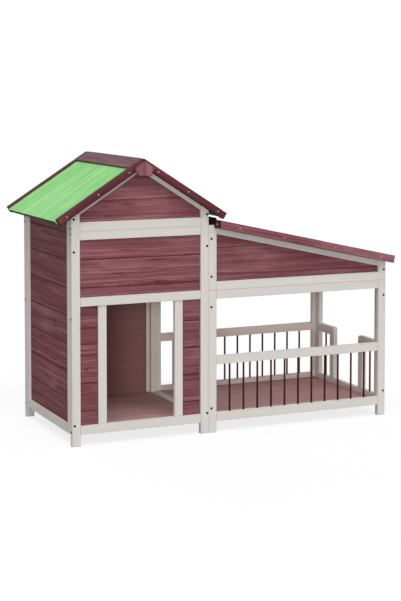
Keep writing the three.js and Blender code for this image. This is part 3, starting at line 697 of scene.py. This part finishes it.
def run_gable_sticks(end):
    """The run's gable frame: a level rail, two stiles and a rafter that falls to the right."""
    node = f"run_{end}_gable_frame"
    outline, span = outline_of(node, "y"), span_of(node, "y")
    boards = outline_of(f"run_{end}_gable_boards", "y")
    bottom = outline[:, 1].min()
    high = boards[np.argmax(boards[:, 1])]
    low = boards[boards[:, 0] > boards[:, 0].max() - FIT][:, 1].max()
    fall = (high[1] - low) / (boards[:, 0].max() - boards[:, 0].min())
    normal = np.array([-fall, -1.0])
    under = normal @ np.array([boards[:, 0].min(), high[1] + FIT])
    upper = clip(between(outline, post_inside, far_inside, 0), normal, under)
    return [
        prism(between(outline, outline[:, 0].min(), post_inside, 0), span, "y", Z),
        prism(between(outline, far_inside, outline[:, 0].max(), 0), span, "y", Z),
        prism(rectangle((post_inside, far_inside), (bottom, bottom + STICK)), span, "y", X),
        # the run's rafter takes the same painted shade, for the shade under the fascia
        prism(upper, span, "y", run_way, tone=RAFTER_SHADE_TONE),
    ]


spindle_pitch = (far_inside - post_inside) / (SPINDLE_COUNT + 1)
spindle_levels = (rail_levels[1] - SOCKET, handrail_levels[0] + SOCKET)


def spindle(x, y, levels):
    """A round spindle with its ends let into the rails."""
    return turned([(SPINDLE_RADIUS * 0.8, levels[0]), (SPINDLE_RADIUS, levels[0] + SPINDLE_EASE),
                   (SPINDLE_RADIUS, levels[1] - SPINDLE_EASE), (SPINDLE_RADIUS * 0.8, levels[1])],
                  (x, y, 0), Z, SPINDLE_SIDES)


for end in ("front", "back"):
    node = f"run_{end}_gable_frame"
    wooden(f"{node}_sticks", run_gable_sticks(end), node)
    node = f"run_{end}_railing"
    y_span = span_of(f"run_{end}_top_rail", "y")
    across = (post_inside + FIT, far_inside - FIT)
    handrail = prism(rectangle(y_span, handrail_levels), across, "x", X)
    # the back handrail and bottom rail take the whitewash with painted bounce light
    wooden(f"run_{end}_handrail", [handrail], node, material=WASH_WITH_PAINTED_BOUNCE if end == "back" else None)
    if end == "back":
        wooden("run_back_bottom_rail", [prism(rectangle(y_span, rail_levels), across, "x", X)], node,
               material=WASH_WITH_PAINTED_BOUNCE)
    middle = sum(y_span) / 2
    row = [spindle(post_inside + (i + 1) * spindle_pitch, middle, spindle_levels)
           for i in range(SPINDLE_COUNT)]
    wooden(f"run_{end}_spindles", row, node, material=SPINDLE_BROWN, slot="roof_trim_wood")

for end, inward in (("front", 1), ("back", -1)):
    node = f"run_side_{end}_wing"
    outline = outline_of(node, "x", lambda c: c[:, 2] > rail_levels[1])
    x_span = span_of(node, "x")
    y0, y1 = outline[:, 0].min(), outline[:, 0].max()
    tip = y1 if inward > 0 else y0
    root = y0 if inward > 0 else y1
    split = tip - inward * STICK
    upright = between(outline, min(split, tip), max(split, tip), 0)
    arm = (min(root, split), max(root, split))
    shells = [prism(upright, x_span, "x", Z), prism(rectangle(x_span, handrail_levels), arm, "y", Y)]
    wooden(f"{node}_sticks", shells, node)
    post = spindle(sum(x_span) / 2, root + inward * WING_SPINDLE, (rail_levels[1] + FIT, spindle_levels[1]))
    wooden(f"{node}_spindle", [post], node, material=SPINDLE_BROWN, slot="roof_trim_wood")

beam_y = span_of("house_front_left_post", "y")[0]
beam = outline_of("run_roof_beam", "y", lambda c: c[:, 1] > 0)
cleat = outline_of("run_roof_beam", "y", lambda c: c[:, 1] < beam_y - NEAR)
beam_span = (beam_y, span_of("run_roof_beam", "y")[1])
cleat_span = (span_of("run_roof_beam", "y")[0], beam_y)
wooden("run_roof_beam_stick", [prism(beam, beam_span, "y", Y)], "run_roof_beam", material=BEAM_PAINTED_SHADE)
wooden("run_roof_beam_cleat", [prism(cleat, cleat_span, "y", Z)], "run_roof_beam")
wooden("run_roof_panel_sheet", [prism(outline_of("run_roof_panel", "y"), span_of("run_roof_panel", "y"), "y",
                                      run_way, (PANEL_EASE, PANEL_EASE), edged=False)], "run_roof_panel")
for end in ("front", "back"):
    node = f"run_roof_{end}_fascia"
    wooden(f"{node}_board", [prism(outline_of(node, "y"), span_of(node, "y"), "y", run_way)], node,
           material=RED_BROWN)

for node in ("ridge_hinge_fixed_leaf", "ridge_hinge_lid_leaf", "run_hinge_fixed_leaf", "run_hinge_lid_leaf"):
    NODES[node].data.materials.clear()
    NODES[node].data.materials.append(HINGE_STEEL)

# ---------------------------------------------------------------- screws
SCREW_RINGS = 9
SCREW_SIDES = 24


def screw(place, out, radius, rise):
    """A raised head with a cross recess. Height is a shallow dome over radius and angle, less a cross whose
    depth falls off at its sides; a skirt goes down into the wood."""
    out = np.array(out, float)
    first = np.cross(out, (0.0, 0.0, 1.0) if abs(out[2]) < 0.9 else (1.0, 0.0, 0.0))
    first /= np.linalg.norm(first)
    second = np.cross(out, first)
    angle = np.arange(SCREW_SIDES) * 2 * math.pi / SCREW_SIDES
    share = np.concatenate([[0.06], np.linspace(0.15, 1, SCREW_RINGS)])[::-1]
    a = radius * share[:, None] * np.cos(angle)
    b = radius * share[:, None] * np.sin(angle)
    arm = radius * 0.14
    reach = np.clip((radius * 0.62 - np.maximum(np.abs(a), np.abs(b))) / arm, 0, 1)
    cross = np.clip(1.6 - np.minimum(np.abs(a), np.abs(b)) / arm, 0, 1) * reach
    height = rise * np.sqrt(1 - 0.75 * share[:, None] ** 2) * (1 - 0.85 * cross)
    height[0] = rise * 0.3
    skirt = np.full((1, SCREW_SIDES), -rise)
    a, b, height = (np.concatenate(pair) for pair in ((a[:1], a), (b[:1], b), (skirt, height)))
    points = np.array(place) + a[..., None] * first + b[..., None] * second + height[..., None] * out
    none = np.zeros(points.shape[:2])
    return shell(points, out, int(np.argmax(np.abs(out))), none, none)


FRAME_SCREW = (0.0047, 0.0012)  # head's radius and rise
ROOF_SCREW = (0.0031, 0.0010)
FORWARD, BACKWARD, LEFTWARD, RIGHTWARD = (0, -1, 0), (0, 1, 0), (-1, 0, 0), (1, 0, 0)
HOUSE_POST_SCREWS = (0.871, 0.746, 0.081)  # heights above the ground
HOUSE_SCREW_INSETS = (0.0095, 0.0070)  # from the left and right posts' outer edges
RUN_SCREW_INSETS = (0.0117, 0.0083)
RUN_LEFT_SCREWS = (0.773, 0.623, 0.502, 0.098)
RUN_RIGHT_SCREWS = (0.611, 0.504, 0.102)
SIDE_SCREWS = (0.836, 0.814, 0.490, 0.056)
RUN_SIDE_SCREWS = (0.585, 0.551, 0.289, 0.062)
BARGE_SCREWS = (0.060, 0.186, 0.312)  # level distances from the ridge
FASCIA_SCREWS = (0.0889, 0.2869, 0.5199, 0.7369)  # from the run's left post's inner side

house_left = span_of("house_front_left_post", "x")[0]
house_right = span_of("house_front_right_post", "x")[1]
run_left = span_of("run_front_left_post", "x")[0]
run_right = span_of("run_front_right_post", "x")[1]
front_y = span_of("house_front_left_post", "y")[0]
back_y = span_of("house_back_left_post", "y")[1]
frame_middles = [sum(span_of(f"house_{end}_left_post", "y")) / 2 for end in ("front", "back")]

black_screws = []
for out, y in ((FORWARD, front_y), (BACKWARD, back_y)):
    rows = [(house_left + HOUSE_SCREW_INSETS[0], HOUSE_POST_SCREWS),
            (house_right - HOUSE_SCREW_INSETS[1], HOUSE_POST_SCREWS),
            (run_left + RUN_SCREW_INSETS[0], RUN_LEFT_SCREWS),
            (run_right - RUN_SCREW_INSETS[1], RUN_RIGHT_SCREWS)]
    black_screws += [screw((x, y, z), out, *FRAME_SCREW) for x, heights in rows for z in heights]
for y in frame_middles:
    black_screws += [screw((house_left, y, z), LEFTWARD, *FRAME_SCREW) for z in SIDE_SCREWS]
    black_screws += [screw((run_right, y, z), RIGHTWARD, *FRAME_SCREW) for z in RUN_SIDE_SCREWS]
piece("frame_screws", black_screws, BLACK_STEEL, "kennel", "dark_steel")


def barge_middle(outline, x):
    """Height of the middle of a sloping board at x."""
    strip = between(outline, x - NEAR, x + NEAR, 0)
    return (strip[:, 1].min() + strip[:, 1].max()) / 2


def board_screws(node, places, out):
    """Pale screws along the middle of a sloping board's outer face."""
    outline, span = outline_of(node, "y"), span_of(node, "y")
    y = span[0] if out == FORWARD else span[1]
    return [screw((x, y, barge_middle(outline, x)), out, *ROOF_SCREW) for x in places]


lid_screws, fixed_screws, run_lid_screws = [], [], []
for end, out in (("front", FORWARD), ("back", BACKWARD)):
    lid_screws += board_screws(f"roof_left_{end}_barge", [ridge_x - d for d in BARGE_SCREWS], out)
    fixed_screws += board_screws(f"roof_right_{end}_barge", [ridge_x + d for d in BARGE_SCREWS], out)
    run_lid_screws += board_screws(f"run_roof_{end}_fascia", [post_inside + d for d in FASCIA_SCREWS], out)
cleat_x, cleat_z = cleat[:, 0].mean(), cleat[:, 1].mean()
fixed_screws.append(screw((cleat_x, cleat_span[0], cleat_z), FORWARD, *ROOF_SCREW))
piece("house_roof_lid_screws", lid_screws, PALE_STEEL, "house_roof_lid", "dark_steel")
piece("fixed_roof_screws", fixed_screws, PALE_STEEL, "kennel", "dark_steel")
piece("run_roof_lid_screws", run_lid_screws, PALE_STEEL, "run_roof_lid", "dark_steel")

# ---------------------------------------------------------------- stage, light and camera
scene = bpy.context.scene
scene.view_settings.view_transform = "Standard"

SKY_LEVEL = 0.35
LAMPS = {  # level, colour, direction towards the light, and the light's angle across
    "key": (0.74, (1, 1, 1), (0, -0.62, 0.78), 24),
    "top": (1.15, (1, 1, 1), (-0.25, -0.33, 0.91), 30),
    "front_fill": (1.2, (1, 0.97, 0.945), (-0.41, -0.90, 0.13), 16),
    "right_fill": (0.6, (1, 1, 1), (0.93, -0.20, 0.31), 50),
    "back_fill": (0.75, (1, 1, 1), (0.10, 0.93, 0.35), 50),
}
STAGE_REACH = 14.0
FLOOR_BOUNCE = 0.32  # how much of the light the floor gives back to the object
FLOOR_SHARE = 0.2  # how much of it the camera sees on the floor
FLOOR_GLOW = 0.80  # light that only the camera sees there, so that it shows white outside the shadow


def seen_directly(tree):
    """1 for what the camera, gloss and glass see, and 0 for light on its way to the object."""
    path = tree.nodes.new("ShaderNodeLightPath")
    seen = path.outputs["Is Camera Ray"]
    for output in ("Is Glossy Ray", "Is Transmission Ray"):
        most = tree.nodes.new("ShaderNodeMath")
        most.operation = "MAXIMUM"
        tree.links.new(seen, most.inputs[0])
        tree.links.new(path.outputs[output], most.inputs[1])
        seen = most.outputs[0]
    return seen


def level_for(tree, seen, plain, direct):
    """A grey level: one for light on its way to the object, and another where the camera sees it."""
    level = tree.nodes.new("ShaderNodeMapRange")
    tree.links.new(seen, level.inputs["Value"])
    level.inputs["To Min"].default_value = plain
    level.inputs["To Max"].default_value = direct
    return level.outputs[0]


world = bpy.data.worlds.new("studio")
scene.world = world
world.use_nodes = True
sky = world.node_tree.nodes["Background"]
sky.inputs["Color"].default_value = (1, 1, 1, 1)
world.node_tree.links.new(level_for(world.node_tree, seen_directly(world.node_tree), SKY_LEVEL, 1.0),
                          sky.inputs["Strength"])

floor_material = bpy.data.materials.new("studio_floor")
floor_material.use_nodes = True
floor_tree = floor_material.node_tree
floor_shader = floor_tree.nodes["Principled BSDF"]
floor_shader.inputs["Roughness"].default_value = 1.0
floor_shader.inputs["Specular IOR Level"].default_value = 0.0
floor_shader.inputs["Emission Color"].default_value = (1, 1, 1, 1)
floor_seen = seen_directly(floor_tree)
for key, plain, direct in (("Base Color", FLOOR_BOUNCE, FLOOR_SHARE), ("Emission Strength", 0.0, FLOOR_GLOW)):
    floor_tree.links.new(level_for(floor_tree, floor_seen, plain, direct), floor_shader.inputs[key])
floor_mesh = bpy.data.meshes.new("studio_floor")
floor_mesh.from_pydata([(x * STAGE_REACH, y * STAGE_REACH, 0.0)
                        for x, y in ((-1, -1), (1, -1), (1, 1), (-1, 1))], [], [(0, 1, 2, 3)])
floor_mesh.materials.append(floor_material)
studio_floor = bpy.data.objects.new("studio_floor", floor_mesh)
scene.collection.objects.link(studio_floor)

for name, (level, colour, towards, across) in LAMPS.items():
    lamp = bpy.data.lights.new(name, "SUN")
    lamp.energy = level
    lamp.color = colour
    lamp.angle = math.radians(across)
    sun = bpy.data.objects.new(name, lamp)
    sun.rotation_mode = "QUATERNION"
    sun.rotation_quaternion = Vector(towards).to_track_quat("Z", "Y")
    scene.collection.objects.link(sun)

CAMERA_PLACE = (-2.5393, -5.6415, 1.4010)
CAMERA_YAW = math.radians(-24.209)  # turned to the right of straight ahead
CAMERA_PITCH = math.radians(3.5)  # below the horizon
camera_data = bpy.data.cameras.new("camera")
camera_data.lens = 89.94
camera_data.sensor_width = 36.0
camera_data.shift_y = -0.2159  # keeps the uprights nearly parallel, as the photograph has them
camera = bpy.data.objects.new("camera", camera_data)
camera.location = CAMERA_PLACE
camera.rotation_euler = (math.pi / 2 - CAMERA_PITCH, 0, CAMERA_YAW)
scene.collection.objects.link(camera)
scene.camera = camera
